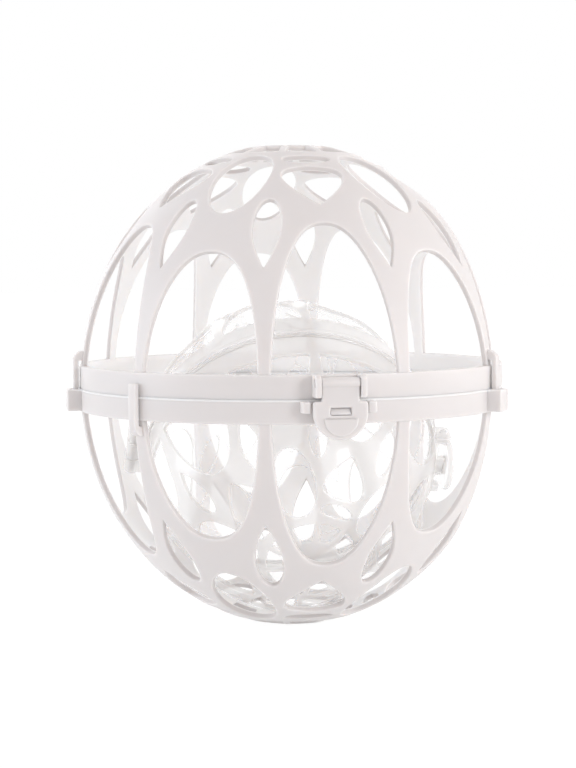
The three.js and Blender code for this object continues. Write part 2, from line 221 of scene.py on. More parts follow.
def plate(
    loops: list[Curve], start: float, end: float, draw: Draw, rounding: float, segments: int = 2
) -> BMesh:
    """Draws a flat outline out into a solid with rounded edges.

    Args:
        loops: the outline, then those of any holes in it.
        start: depth at which the solid starts.
        end: depth at which it ends.
        draw: the way it is drawn.
        rounding: width of the rounding along its edges.
        segments: number of steps in the rounding.

    Returns:
        The closed mesh.
    """
    mesh = outline_mesh([[Vector((u, v, start)) for u, v in loop] for loop in loops])
    fill_with_rim(mesh, rounding * RIM_PER_ROUNDING)
    drawn = bmesh.ops.extrude_face_region(mesh, geom=mesh.faces[:])["geom"]
    moved = [item for item in drawn if isinstance(item, bmesh.types.BMVert)]
    bmesh.ops.translate(mesh, verts=moved, vec=(0, 0, end - start))
    bmesh.ops.recalc_face_normals(mesh, faces=mesh.faces[:])
    round_edges(mesh, rounding, segments)
    mesh.transform(draw.basis)
    bmesh.ops.recalc_face_normals(mesh, faces=mesh.faces[:])
    return mesh


def rod(radius: float, left: float, right: float, reach: float, height: float, rounding: float) -> BMesh:
    """Round bar across the front.

    Args:
        radius: radius of the bar.
        left: where it starts across the front.
        right: where it ends.
        reach: distance of its middle line from the axis.
        height: height of its middle line.
        rounding: width of the rounding at its ends.

    Returns:
        The closed mesh.
    """
    mesh = bmesh.new()
    bmesh.ops.create_cone(
        mesh, cap_ends=True, segments=48, radius1=radius, radius2=radius, depth=right - left
    )
    round_edges(mesh, rounding, segments=3, sharper_than=60)
    turn = Matrix.Rotation(math.radians(90), 4, "Y")
    mesh.transform(Matrix.Translation(((left + right) / 2, -reach, height)) @ turn)
    return mesh


def turned_to(mesh: BMesh, azimuth: float) -> BMesh:
    """Turns a fitting from the front to an azimuth and hands it back."""
    mesh.transform(Matrix.Rotation(math.radians(azimuth), 4, "Z"))
    return mesh


def scratch_object(mesh: BMesh) -> bpy.types.Object:
    """Makes an object of a mesh that is about to be joined.

    Args:
        mesh: the mesh; it is used up.

    Returns:
        The object, linked to the scene.
    """
    data = bpy.data.meshes.new("scratch")
    mesh.to_mesh(data)
    mesh.free()
    holder = bpy.data.objects.new("scratch", data)
    bpy.context.scene.collection.objects.link(holder)
    return holder


def united(solids: list[BMesh]) -> bpy.types.Mesh:
    """Joins closed meshes into one skin, so that no face is left inside it.

    Args:
        solids: closed meshes that reach into each other; they are used up.

    Returns:
        The joined mesh.
    """
    for solid in solids:
        if solid.calc_volume(signed=True) < 0:
            bmesh.ops.reverse_faces(solid, faces=solid.faces[:])
    whole, *others = [scratch_object(solid) for solid in solids]
    for other in others:
        join = whole.modifiers.new("join", "BOOLEAN")
        join.operation = "UNION"
        join.solver = "MANIFOLD"
        join.object = other
    graph = bpy.context.evaluated_depsgraph_get()
    data = bpy.data.meshes.new_from_object(whole.evaluated_get(graph))
    for holder in (whole, *others):
        spent = holder.data
        bpy.data.objects.remove(holder)
        bpy.data.meshes.remove(spent)
    return data


@dataclass(frozen=True)
class BallSizes:
    """Sizes of one ball and the place of its fittings."""

    name: str
    slot: str
    ring_radius: float
    ring_height: float
    ring_wall: float
    band_height: float
    rib_drop: float
    wall: float
    half_height: float
    hub_radius: float
    spoke_width: float
    hinge_middle: float
    hinge_side: float
    upper_fingers: tuple[float, ...]
    lower_fingers: tuple[float, ...]
    spacing: float
    edge_round: float

    @property
    def radius(self) -> float:
        """Radius of the openwork's ovoid at the parting plane."""
        return self.ring_radius - self.rib_drop

    @property
    def hub_angle(self) -> float:
        """Angle above the parting plane at which the flat pole begins."""
        return math.degrees(math.acos(self.hub_radius / self.radius))

    @property
    def height(self) -> float:
        """Height of the ovoid over the parting plane, were its pole not flat."""
        return self.half_height / math.sin(math.radians(self.hub_angle))

    @property
    def per_degree(self) -> float:
        """Millimetres along the wall for one degree."""
        return math.pi / 2 * math.hypot(self.radius, self.height) / math.sqrt(2) / 90

    @property
    def open_band(self) -> bool:
        """Whether the arches come right down to the ring."""
        return self.band_height <= self.ring_height

    def angle_at(self, height: float) -> float:
        """Angle at which the ovoid reaches a height."""
        return math.degrees(math.asin(height / self.height))

    def reach_at(self, height: float, depth: float) -> float:
        """Reach of the ovoid at a height, sunk by a depth."""
        return (self.radius - depth) * math.sqrt(1 - (height / (self.height - depth)) ** 2)

    def root_reach(self, across: float) -> float:
        """Reach at which a fitting is rooted in the ring's wall."""
        return math.sqrt((self.ring_radius - self.ring_wall) ** 2 - across**2) + SEAT

    def spread(self, azimuth: float, angle: float) -> Vector:
        """Spreads a point of the dome out flat about its pole.

        Args:
            azimuth: azimuth of the point.
            angle: its angle above the parting plane.

        Returns:
            Its place in the flat dome.
        """
        away = (90 - angle) * self.per_degree
        turn = math.radians(azimuth)
        return Vector((away * math.sin(turn), -away * math.cos(turn), 0))

    def bent(self, flat: Vector) -> Vector:
        """Bends a point of the flat dome back to the ovoid.

        Args:
            flat: its place in the flat dome.

        Returns:
            Its place on the ovoid or its flat pole.
        """
        away = math.hypot(flat.x, flat.y)
        angle = math.radians(90 - away / self.per_degree)
        reach = self.radius * math.cos(angle)
        share = reach / away if away > 1e-6 else 0.0
        return Vector((flat.x * share, flat.y * share, min(self.height * math.sin(angle), self.half_height)))


@dataclass(frozen=True, kw_only=True)
class Window:
    """Window of the openwork: its half width round the axis and its shift from the middle of its place."""

    half: float
    shift: float = 0.0

    def half_runs(self, sizes: BallSizes) -> list[Curve]:
        """Runs of half the outline, from its low end to its high end, as across and angle.

        Args:
            sizes: the ball that the window is in.

        Returns:
            Dense runs, each one smooth; the outline may have a corner where two meet.
        """
        raise NotImplementedError

    def outline(self, sizes: BallSizes, azimuth: float, mirrored: bool) -> list[Vector]:
        """Closed outline of the window in the flat dome.

        Args:
            sizes: the ball that the window is in.
            azimuth: azimuth of the middle of the window's place.
            mirrored: whether the window's shift goes to the other side.

        Returns:
            Evenly placed points.
        """
        middle = azimuth + (-self.shift if mirrored else self.shift)
        right: list[Vector] = []
        left: list[Vector] = []
        for run in self.half_runs(sizes):
            to_right = [sizes.spread(middle + across, angle) for across, angle in run]
            to_left = [sizes.spread(middle - across, angle) for across, angle in run]
            right += evenly(to_right, sizes.spacing)[:-1]
            left += evenly(to_left, sizes.spacing)[1:]
        return right + left[::-1]


@dataclass(frozen=True, kw_only=True)
class Arch(Window):
    """Tall or short arch over the ring, up to the angle of its crown."""

    high: float
    power: float = 2.4
    sunk: float = 1.0

    def half_runs(self, sizes: BallSizes) -> list[Curve]:
        """Sill on the band, or sunk into the ring where there is no band, then the arch up to its crown.

        Args:
            sizes: the ball that the arch is in.

        Returns:
            The sill and the arch, as across and angle.
        """
        sunk = self.sunk if sizes.open_band else 0.0
        foot = sizes.angle_at(sizes.band_height - sunk)
        first = math.asin((foot / self.high) ** (self.power / 2))
        turns = [first + (math.pi / 2 - first) * share for share in SHARES]
        power = 2 / self.power
        arch = [(self.half * max(math.cos(t), 0) ** power, self.high * math.sin(t) ** power) for t in turns]
        return [[(arch[0][0] * share, foot) for share in SHARES], arch]


@dataclass(frozen=True, kw_only=True)
class FreeWindow(Window):
    """Window clear of the ring and the pole, between a low and a high angle and widest at one between."""

    low: float
    wide: float
    high: float

    def narrowed(self, angle: float) -> float:
        """Half width round the axis that keeps the window's form while the ball narrows."""
        return self.half * math.cos(math.radians(self.wide)) / math.cos(math.radians(angle))


class Oval(FreeWindow):
    """Oval window, and the crescent over the pointed one."""

    def half_runs(self, sizes: BallSizes) -> list[Curve]:
        """Half an oval.

        Args:
            sizes: the ball that the window is in.

        Returns:
            One run, as across and angle.
        """
        tall = (self.high - self.low) / 2
        angles = [self.wide - tall * math.cos(math.pi * share) for share in SHARES]
        return [[(self.narrowed(a) * math.sin(math.pi * share), a) for a, share in zip(angles, SHARES)]]


class Pointed(FreeWindow):
    """Window that is pointed at its low end and round at its high end."""

    def half_runs(self, sizes: BallSizes) -> list[Curve]:
        """Flank from the point to the widest place, then the crown.

        Args:
            sizes: the ball that the window is in.

        Returns:
            Both as one run, as across and angle.
        """
        rise, crown_rise = self.wide - self.low, self.high - self.wide
        turns = [math.pi / 2 * share for share in SHARES]
        flank = [(self.low + rise * share, math.sin(turn)) for share, turn in zip(SHARES, turns)]
        crown = [(self.wide + crown_rise * math.sin(turn), math.cos(turn)) for turn in turns[1:]]
        return [[(self.narrowed(angle) * part, angle) for angle, part in flank + crown]]


@dataclass(frozen=True, kw_only=True)
class HubWindow(Window):
    """Window between the pole ring, at a low angle, and the flat hub; half is half a sector."""

    low: float

    def half_runs(self, sizes: BallSizes) -> list[Curve]:
        """Edge along the pole ring, edge along the spoke, and edge along the hub.

        Args:
            sizes: the ball that the window is in.

        Returns:
            The three edges, as across and angle.
        """

        def beside_spoke(angle: float) -> float:
            """Half width left between two spokes at an angle."""
            reach = sizes.radius * math.cos(math.radians(angle))
            return self.half - math.degrees(math.asin(sizes.spoke_width / 2 / reach))

        high = sizes.hub_angle
        side = [self.low + (high - self.low) * share for share in SHARES]
        return [
            [(beside_spoke(self.low) * share, self.low) for share in SHARES],
            [(beside_spoke(angle), angle) for angle in side],
            [(beside_spoke(high) * (1 - share), high) for share in SHARES],
        ]


@dataclass(frozen=True)
class Openwork:
    """Windows of one dome, the same on both balls; the shares are of the spacing and the rounding."""

    sectors: int = 10
    tall_arch: Window = Arch(high=41.5, half=16.5)
    short_arch: Window = Arch(high=33.7, half=16.3)
    leaf: Window = Pointed(low=29.5, wide=40.2, high=49.2, half=4.7, shift=1.2)
    oval: Window = Oval(low=44.8, wide=57.2, high=69.6, half=14.2)
    heart: Window = Pointed(low=47.2, wide=58.6, high=62.7, half=15.6)
    crescent: Window = Oval(low=64.8, wide=67.1, high=69.4, half=17)
    hub_window: Window = HubWindow(low=72.8, half=18)
    foot_share: float = 1.6
    rim_share: float = 1.9
    longest_share: float = 2.4

    def loops(self, sizes: BallSizes) -> list[list[Vector]]:
        """Outlines of the flat dome.

        Args:
            sizes: the ball that the dome belongs to.

        Returns:
            The dome's foot first, then every window.
        """
        foot = sizes.angle_at(sizes.ring_height / 4)
        count = round(2 * math.pi * sizes.spread(0, foot).length / sizes.spacing / self.foot_share)
        loops = [[sizes.spread(360 * i / count, foot) for i in range(count)]]
        sector = 360 / self.sectors
        for place in range(self.sectors):
            azimuth = place * sector
            tall = place % 2 == 0
            windows = [self.tall_arch, self.heart, self.crescent] if tall else [self.short_arch, self.oval]
            loops += [window.outline(sizes, azimuth, False) for window in (*windows, self.hub_window)]
            loops.append(self.leaf.outline(sizes, azimuth + sector / 2, not tall))
        return loops

    def build(self, sizes: BallSizes) -> BMesh:
        """Dome of the upper half: cut in the flat, bent to the ovoid and given its wall.

        Args:
            sizes: the ball that the dome belongs to.

        Returns:
            The closed mesh.
        """
        mesh = outline_mesh(self.loops(sizes))
        fill_with_rim(mesh, sizes.edge_round * self.rim_share)
        refine(mesh, sizes.spacing * self.longest_share)
        for vert in mesh.verts:
            vert.co = sizes.bent(vert.co)
        bmesh.ops.recalc_face_normals(mesh, faces=mesh.faces[:])
        top = max(mesh.faces, key=lambda face: face.calc_center_median().z)
        if top.normal.z < 0:
            bmesh.ops.reverse_faces(mesh, faces=mesh.faces[:])
        bmesh.ops.solidify(mesh, geom=mesh.faces[:], thickness=sizes.wall)
        bmesh.ops.recalc_face_normals(mesh, faces=mesh.faces[:])
        round_edges(mesh, sizes.edge_round, sharper_than=50)
        for vert in mesh.verts:
            vert.co.z = min(vert.co.z, sizes.half_height)
        return mesh


@dataclass(frozen=True)
class Latch:
    """Flip latch; reaches are from the ring's face and heights from the parting plane."""

    neck_width: float = 12.8
    cheek_width: float = 2.0
    cheek_reach: float = 5.6
    cheek_low: float = 0.8
    cheek_high: float = 8.3
    cheek_corner: float = 2.0
    cheek_chamfer: float = 0.6
    cheek_round: float = 0.28
    pivot_reach: float = 3.2
    pivot_height: float = 5.6
    barrel_radius: float = 1.9
    barrel_round: float = 0.3
    trunnion_radius: float = 1.3
    trunnion_inset: float = 0.3
    trunnion_round: float = 0.25
    stand_off: float = 2.3
    plate: float = 2.4
    plate_round: float = 0.55
    lobe_width: float = 18.6
    lobe_top: float = -0.4
    lobe_length: float = 12.9
    shoulder: float = 1.2
    slot_width: float = 7.2
    slot_height: float = 2.6
    slot_top: float = -2.5
    pad_width: float = 11.6
    pad_top: float = -5.9
    pad_length: float = 6.2
    pad_rise: float = 0.5
    pad_inset: float = 0.6
    pad_round: float = 0.4
    nose_width: float = 6.9
    nose_height: float = 2.25
    nose_top: float = -2.7
    nose_share: float = 0.75
    nose_slope: float = 1.1
    nose_tip: float = 0.6
    nose_round: float = 0.2
    guide_width: float = 2.8
    guide_height: float = 3.8
    guide_top: float = -0.6
    guide_reach: float = 3.0
    guide_gap: float = 0.6
    guide_round: float = 0.4

    def pivot(self, sizes: BallSizes) -> tuple[float, float]:
        """Reach and height of the trunnions' middle line."""
        return sizes.ring_radius + self.pivot_reach, self.pivot_height

    def tongue(self, sizes: BallSizes) -> list[BMesh]:
        """Parts of the tongue: slotted plate, barrel, trunnions and thumb pad.

        Args:
            sizes: the ball that the latch shuts.

        Returns:
            Closed meshes that reach into each other.
        """
        pivot = self.pivot(sizes)
        neck = self.neck_width / 2
        pin = neck + FIT + self.cheek_width - self.trunnion_inset
        back = sizes.ring_radius + self.stand_off
        face = back + self.plate
        half = self.lobe_width / 2
        centre = self.lobe_top - (self.lobe_length - half)
        shoulder = self.lobe_top - self.shoulder
        outline = [
            (neck, self.pivot_height), (-neck, self.pivot_height), (-neck, self.lobe_top),
            *arc((-half + self.shoulder, shoulder), self.shoulder, 90, 180, 5),
            *arc((0, centre), half, 180, 360, 40),
            *arc((half - self.shoulder, shoulder), self.shoulder, 0, 90, 5),
            (neck, self.lobe_top),
        ]
        slot_low = self.slot_top - self.slot_height
        slot = box(-self.slot_width / 2, slot_low, self.slot_width / 2, self.slot_top)
        pad_half = self.pad_width / 2
        pad_centre = self.pad_top - (self.pad_length - pad_half)
        pad_end = arc((0, pad_centre), pad_half, 180, 360, 24)
        pad = [(pad_half, self.pad_top), (-pad_half, self.pad_top), *pad_end]
        pad_back, pad_face = back + self.pad_inset, face + self.pad_rise
        return [
            plate([outline, slot], back, face, Draw.OUTWARD, self.plate_round, segments=3),
            rod(self.barrel_radius, -neck, neck, *pivot, self.barrel_round),
            rod(self.trunnion_radius, -pin, pin, *pivot, self.trunnion_round),
            plate([pad], pad_back, pad_face, Draw.OUTWARD, self.pad_round, segments=3),
        ]

    def cheeks(self, sizes: BallSizes) -> list[BMesh]:
        """The two cheeks on the upper ring that hold the tongue's trunnions.

        Args:
            sizes: the ball that the latch shuts.

        Returns:
            One closed mesh for each cheek.
        """
        inner = self.neck_width / 2 + FIT
        outer = inner + self.cheek_width
        near = sizes.root_reach(inner)
        far = sizes.ring_radius + self.cheek_reach
        corner, chamfer = self.cheek_corner, self.cheek_chamfer
        outline = [
            (near, self.cheek_low), (far - chamfer, self.cheek_low), (far, self.cheek_low + chamfer),
            *arc((far - corner, self.cheek_high - corner), corner, 0, 90, 8), (near, self.cheek_high),
        ]
        bore = circle(self.pivot(sizes), self.trunnion_radius + FIT, 24)
        return [
            plate([outline, bore], left, left + self.cheek_width, Draw.ACROSS, self.cheek_round)
            for left in (inner, -outer)
        ]

    def catch(self, sizes: BallSizes) -> list[BMesh]:
        """Nose in the tongue's slot and the guides beside its lobe, on the lower ring.

        Args:
            sizes: the ball that the latch shuts.

        Returns:
            The closed meshes.
        """
        inner = self.lobe_width / 2 + self.guide_gap
        outer = inner + self.guide_width
        far = sizes.ring_radius + self.guide_reach
        guide = box(sizes.root_reach(inner), self.guide_top - self.guide_height, far, self.guide_top)
        root, side = sizes.root_reach(0), self.nose_width / 2
        nose_far = sizes.ring_radius + self.stand_off + self.plate * self.nose_share
        nose_low = self.nose_top - self.nose_height
        nose = [
            (root, nose_low), (nose_far, nose_low), (nose_far, nose_low + self.nose_tip),
            (nose_far - self.nose_slope, self.nose_top), (root, self.nose_top),
        ]
        return [
            plate([nose], -side, side, Draw.ACROSS, self.nose_round),
            plate([guide], inner, outer, Draw.ACROSS, self.guide_round),
            plate([guide], -outer, -inner, Draw.ACROSS, self.guide_round),
        ]


@dataclass(frozen=True)
class Hinge:
    """Hinge at the back; reach is from the ring's face to the pin's middle line."""

    reach: float = 3.3
    knuckle_radius: float = 2.9
    knuckle_round: float = 0.3
    leaf: float = 2.4
    pin_radius: float = 1.3
    pin_round: float = 0.3
    head_radius: float = 2.1
    head_length: float = 0.9
    head_cover: float = 0.2
    head_round: float = 0.35

    def knuckle(self, sizes: BallSizes, left: float, right: float, half: Half) -> BMesh:
        """Knuckle with the leaf that carries it.

        Args:
            sizes: the ball that the hinge joins.
            left: where the knuckle starts across the hinge.
            right: where it ends.
            half: the half that carries it.

        Returns:
            The closed mesh.
        """
        nearest = 0 if left * right < 0 else min(abs(left), abs(right))
        root = sizes.root_reach(nearest)
        axis = sizes.ring_radius + self.reach
        low = PARTING_GAP / 2
        first = math.degrees(math.asin(low / self.knuckle_radius))
        last = math.degrees(math.asin(self.leaf / self.knuckle_radius))
        barrel = arc((axis, 0), self.knuckle_radius, 180 - first, 540 - last, 40)
        outline = [(root, low), *barrel, (root, self.leaf)]
        bore = circle((axis, 0), self.pin_radius + FIT, 30)
        loops = [[(reach, half.value * height) for reach, height in loop] for loop in (outline, bore)]
        return turned_to(plate(loops, left, right, Draw.ACROSS, self.knuckle_round), BACK)

    def pin(self, sizes: BallSizes) -> list[BMesh]:
        """Pin with a head at one end.

        Args:
            sizes: the ball that the hinge joins.

        Returns:
            Shank and head, which reach into each other.
        """
        end = sizes.hinge_middle / 2 + FIT + sizes.hinge_side
        axis = sizes.ring_radius + self.reach
        tip = end + FIT + self.head_length
        shank = rod(self.pin_radius, -end, tip - self.head_cover, axis, 0, self.pin_round)
        head = rod(self.head_radius, end + FIT, tip, axis, 0, self.head_round)
        return [turned_to(shank, BACK), turned_to(head, BACK)]


@dataclass(frozen=True)
class Alignment:
    """Fingers that rise from a rib and cross the parting plane, and the sockets that take them."""

    width: float = 3.4
    thickness: float = 2.0
    stand_off: float = 0.4
    root_height: float = 13.7
    root_thickness: float = 3.4
    corner: float = 3.4
    fillet: float = 0.7
    depth: float = 7.2
    overlap: float = 4.5
    socket_height: float = 7.9
    socket_wall: float = 1.6
    front_wall: float = 1.7
    side_slack: float = 0.8
    back_slack: float = 1.0
    front_slack: float = 0.7
    rounding: float = 0.45

    def finger(self, sizes: BallSizes, azimuth: float, half: Half) -> BMesh:
        """One finger.

        Args:
            sizes: the ball that it aligns.
            azimuth: where it stands.
            half: the half that carries it.

        Returns:
            The closed mesh.
        """
        past = self.depth if half is Half.UPPER else self.overlap
        out = sizes.ring_radius + self.stand_off + self.thickness
        inner = out - self.thickness
        top, corner, fillet = self.root_height, self.corner, self.fillet
        under = top - self.root_thickness
        root = sizes.reach_at(top, sizes.wall / 2)
        outline = [
            (root, under), *arc((inner - fillet, under - fillet), fillet, 90, 0, 5),
            (inner, -past), (out, -past),
            *arc((out - corner, top - corner), corner, 0, 90, 8), (root, top),
        ]
        loops = [[(reach, half.value * height) for reach, height in outline]]
        side = self.width / 2
        return turned_to(plate(loops, -side, side, Draw.ACROSS, self.rounding), azimuth)

    def socket(self, sizes: BallSizes, azimuth: float) -> BMesh:
        """Socket on the lower ring, round the end of an upper finger.

        Args:
            sizes: the ball that it aligns.
            azimuth: where it stands.

        Returns:
            The closed mesh.
        """
        back = sizes.ring_radius + self.stand_off
        front = back + self.thickness + self.front_slack
        room = self.width / 2 + self.side_slack
        half = room + self.socket_wall
        high = -PARTING_GAP / 2
        outside = box(-half, sizes.root_reach(0), half, front + self.front_wall)
        hole = box(-room, back - self.back_slack, room, front)
        solid = plate([outside, hole], high - self.socket_height, high, Draw.UPWARD, self.rounding)
        return turned_to(solid, azimuth)


@dataclass(frozen=True)
class PaintedLightAndShadeMark:
    """Limits by which a point gets the painted light of its ball's inside or the painted shade of a window's
    edge; facing is a cosine.
    """

    # painted light: share of the pale inside colour on the lower ring's thin lip, a pale line along the
    # parting plane
    lip: float = 0.9
    lip_slack: float = 0.02
    wall_slack: float = 0.002
    pole_margin: float = 1.0
    edge_facing: float = 0.6
    inside_facing: float = 0.2
    facing_span: float = 0.6


@dataclass(frozen=True)
class Piece:
    """Finished mesh with what it stands for."""

    node: str
    body: str
    mesh: bpy.types.Mesh


@dataclass
class Ball:
    """One ball: two half shells, hinge pin and latch tongue."""

    sizes: BallSizes
    openwork: Openwork
    latch: Latch
    hinge: Hinge
    alignment: Alignment
    mark: PaintedLightAndShadeMark
    lip_reach: float = 0.15
    lip_height: float = 0.6
    lip_round: float = 0.1
    lip_under_round: float = 0.05
    parting_round: float = 0.04
    inside_round: float = 0.12
    rim_round: float = 0.55
    ring_steps: int = 240

    def place(self) -> Matrix:
        """Place of the ball in the frame, from its hinge and latch.

        Returns:
            Matrix from the ball's millimetres to the frame's metres.
        """
        joints = {joint["name"]: joint for joint in frame["joints"]}
        swing = joints[f"{self.sizes.name}_lid_hinge"]
        hinge_at = Vector(swing["pos_m"])
        latch_at = Vector(joints[f"{self.sizes.name}_latch_swing"]["pos_m"])
        across = -Vector(swing["axis"]).normalized()
        span = 2 * self.sizes.ring_radius + self.hinge.reach + self.latch.pivot_reach
        lean = Matrix.Rotation(math.atan2(self.latch.pivot_height, span), 3, across)
        back = -(lean @ (latch_at - hinge_at)).normalized()
        up = across.cross(back)
        middle = hinge_at - back * (self.sizes.ring_radius + self.hinge.reach) * METRES
        turn = Matrix((across, back, up)).transposed().to_4x4()
        return Matrix.Translation(middle) @ turn @ Matrix.Scale(METRES, 4)

    def ring(self, half: Half) -> BMesh:
        """Ring at the parting plane, spun from a rounded profile; the lower one has a lip along its edge.

        Args:
            half: the half that it edges.

        Returns:
            The closed mesh.
        """
        low, high = PARTING_GAP / 2, self.sizes.ring_height
        out, under = self.sizes.ring_radius, low + self.lip_height
        inner, outer = out - self.sizes.ring_wall, out - self.lip_reach
        edge = [(outer, low, self.parting_round)]
        if half is Half.LOWER:
            edge = [
                (out, low, self.lip_round), (out, under, self.lip_under_round),
                (outer, under + self.lip_reach, self.lip_round),
            ]
        inside = [(inner, high, self.rim_round), (inner, low, self.inside_round)]
        corners = [*inside, *edge, (outer, high, self.rim_round)]
        mesh = outline_mesh([[Vector((reach, 0, half.value * height)) for reach, height, _ in corners]])
        for vert, (_, _, rounding) in zip(mesh.verts[:], corners):
            bmesh.ops.bevel(
                mesh, geom=[vert], offset=rounding, offset_type="OFFSET", segments=4, profile=0.5,
                affect="VERTICES", clamp_overlap=True, material=-1,
            )
        bmesh.ops.spin(
            mesh, geom=mesh.verts[:] + mesh.edges[:], cent=(0, 0, 0), axis=(0, 0, 1), dvec=(0, 0, 0),
            angle=2 * math.pi, steps=self.ring_steps, use_merge=True,
        )
        bmesh.ops.recalc_face_normals(mesh, faces=mesh.faces[:])
        return mesh

    def dome(self, half: Half) -> BMesh:
        """Openwork dome, turned over for the lower half.

        Args:
            half: the half that it covers.

        Returns:
            The closed mesh.
        """
        mesh = self.openwork.build(self.sizes)
        if half is Half.LOWER:
            mesh.transform(Matrix.Rotation(math.pi, 4, "Y"))
        return mesh

    def fingers(self, half: Half) -> list[BMesh]:
        """Alignment fingers of one half."""
        azimuths = self.sizes.upper_fingers if half is Half.UPPER else self.sizes.lower_fingers
        return [self.alignment.finger(self.sizes, azimuth, half) for azimuth in azimuths]

    def upper_shell(self) -> list[BMesh]:
        """Parts of the upper moulding: dome, ring, knuckle, cheeks and fingers.

        Returns:
            Closed meshes that reach into each other.
        """
        half = Half.UPPER
        middle = self.sizes.hinge_middle / 2
        knuckle = self.hinge.knuckle(self.sizes, -middle, middle, half)
        cheeks = self.latch.cheeks(self.sizes)
        return [self.dome(half), self.ring(half), knuckle, *cheeks, *self.fingers(half)]

    def lower_shell(self) -> list[BMesh]:
        """Parts of the lower moulding: dome, ring, knuckles, catch, sockets and fingers.

        Returns:
            Closed meshes that reach into each other.
        """
        half = Half.LOWER
        start = self.sizes.hinge_middle / 2 + FIT
        end = start + self.sizes.hinge_side
        spans = ((start, end), (-end, -start))
        knuckles = [self.hinge.knuckle(self.sizes, left, right, half) for left, right in spans]
        catch = self.latch.catch(self.sizes)
        sockets = [self.alignment.socket(self.sizes, azimuth) for azimuth in self.sizes.upper_fingers]
        return [self.dome(half), self.ring(half), *knuckles, *catch, *sockets, *self.fingers(half)]

    def pieces(self) -> list[Piece]:
        """Builds every piece of the ball in its place.

        Returns:
            The finished pieces.
        """
        name = self.sizes.name
        place = self.place()
        built = [
            (f"{name}_lower_shell", f"{name}_lower", self.lower_shell()),
            (f"{name}_upper_shell", f"{name}_lid", self.upper_shell()),
            (f"{name}_hinge_pin", f"{name}_lower", self.hinge.pin(self.sizes)),
            (f"{name}_latch_tongue", f"{name}_latch", self.latch.tongue(self.sizes)),
        ]
        finished = []
        for node, body, solids in built:
            mesh = united(solids)
            mesh.transform(place)
            mesh.shade_smooth()
            mesh.set_sharp_from_angle(angle=SHARP_ANGLE)
            self.mark_painted_light_and_shade(mesh, place)
            finished.append(Piece(node, body, mesh))
        return finished

    def mark_painted_light_and_shade(self, mesh: bpy.types.Mesh, place: Matrix) -> None:
        """Stores as an attribute the mark of every point, which places painted light and painted shade.

        Args:
            mesh: finished mesh in its place.
            place: place of the ball in the frame.
        """
        home = place.inverted()
        turn = home.to_3x3().normalized()
        painted_light_and_shade = mesh.attributes.new(PAINTED_LIGHT_AND_SHADE, "FLOAT", "POINT")
        for vert, normal, stored in zip(mesh.vertices, mesh.vertex_normals, painted_light_and_shade.data):
            local = home @ vert.co
            stored.value = self.painted_light_and_shade_at(local, -(turn @ normal.vector).dot(local.normalized()))

    def painted_light_and_shade_at(self, local: Vector, facing: float) -> float:
        """Mark of one point; the thin lip counts as inside and gets its painted light, for light that comes
        through it.

        Args:
            local: the point, in the ball's millimetres.
            facing: cosine between its normal and the way to the middle.

        Returns:
            From 1 inside the ball, where light is painted, through 0 on its outside, to -1 on a window's
            edge, where shade is painted.
        """
        mark = self.mark
        reach = math.hypot(local.x, local.y)
        on_lip = abs(self.sizes.ring_radius - reach) < self.lip_reach - mark.lip_slack
        # painted light: the lip takes most of the pale inside colour
        if on_lip and -self.lip_height - self.lip_reach < local.z < 0:
            return mark.lip
        outward = (reach / self.sizes.radius) ** 2 + (local.z / self.sizes.height) ** 2
        below_pole = abs(local.z) < self.sizes.half_height - mark.pole_margin
        # painted shade: the sides of the windows get the darker edge colour
        if outward < 1 + mark.wall_slack and below_pole and abs(facing) < mark.edge_facing:
            return abs(facing) / mark.edge_facing - 1
        # painted light: faces towards the middle of the ball get the pale inside colour
        return max(0.0, min(1.0, (facing - mark.inside_facing) / mark.facing_span))

    def dress(self, finish: bpy.types.Material) -> None:
        """Builds the ball, gives it its finish and sets every piece in the frame.

        Args:
            finish: material of the whole ball.
        """
        for piece in self.pieces():
            piece.mesh.name = piece.node
            piece.mesh.materials.clear()
            piece.mesh.materials.append(finish)
            shown = bpy.data.objects.new(f"{piece.node}_moulding", piece.mesh)
            bpy.context.scene.collection.objects.link(shown)
            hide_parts(piece.node)
            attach(shown, piece.body)
            LOG.info("%s on %s: %d faces", shown.name, piece.body, len(piece.mesh.polygons))


def math_node(
    tree: bpy.types.NodeTree, operation: str, *terms: bpy.types.NodeSocket | float, clamp: bool = False
) -> bpy.types.NodeSocket:
    """Adds a Math node to a node tree.

    Args:
        tree: the node tree.
        operation: what the node does with its terms.
        terms: outputs that are linked to it, or plain numbers.
        clamp: whether the result is kept between 0 and 1.

    Returns:
        The node's output.
    """
    node = tree.nodes.new("ShaderNodeMath")
    node.operation = operation
    node.use_clamp = clamp
    for place, term in zip(node.inputs, terms):
        if isinstance(term, float):
            place.default_value = term
        else:
            tree.links.new(term, place)
    return node.outputs[0]


def colour_mix(
    tree: bpy.types.NodeTree, factor: bpy.types.NodeSocket, first: bpy.types.NodeSocket,
    second: bpy.types.NodeSocket,
) -> bpy.types.NodeSocket:
    """Adds a node that goes from one colour to another.

    Args:
        tree: the node tree.
        factor: output with the share of the second colour.
        first: output with the first colour.
        second: output with the second colour.

    Returns:
        The node's output.
    """
    node = tree.nodes.new("ShaderNodeMix")
    node.data_type = "RGBA"
    for name, given in (("Factor", factor), ("A", first), ("B", second)):
        tree.links.new(given, node.inputs[name])
    return node.outputs["Result"]


def shader_mix(
    tree: bpy.types.NodeTree, factor: bpy.types.NodeSocket, first: bpy.types.Node, second: bpy.types.Node
) -> bpy.types.NodeSocket:
    """Adds a node that goes from one shader to another.

    Args:
        tree: the node tree.
        factor: output with the share of the second shader.
        first: node of the first shader.
        second: node of the second shader.

    Returns:
        The node's output.
    """
    node = tree.nodes.new("ShaderNodeMixShader")
    for place, given in zip(node.inputs, (factor, first.outputs[0], second.outputs[0])):
        tree.links.new(given, place)
    return node.outputs[0]


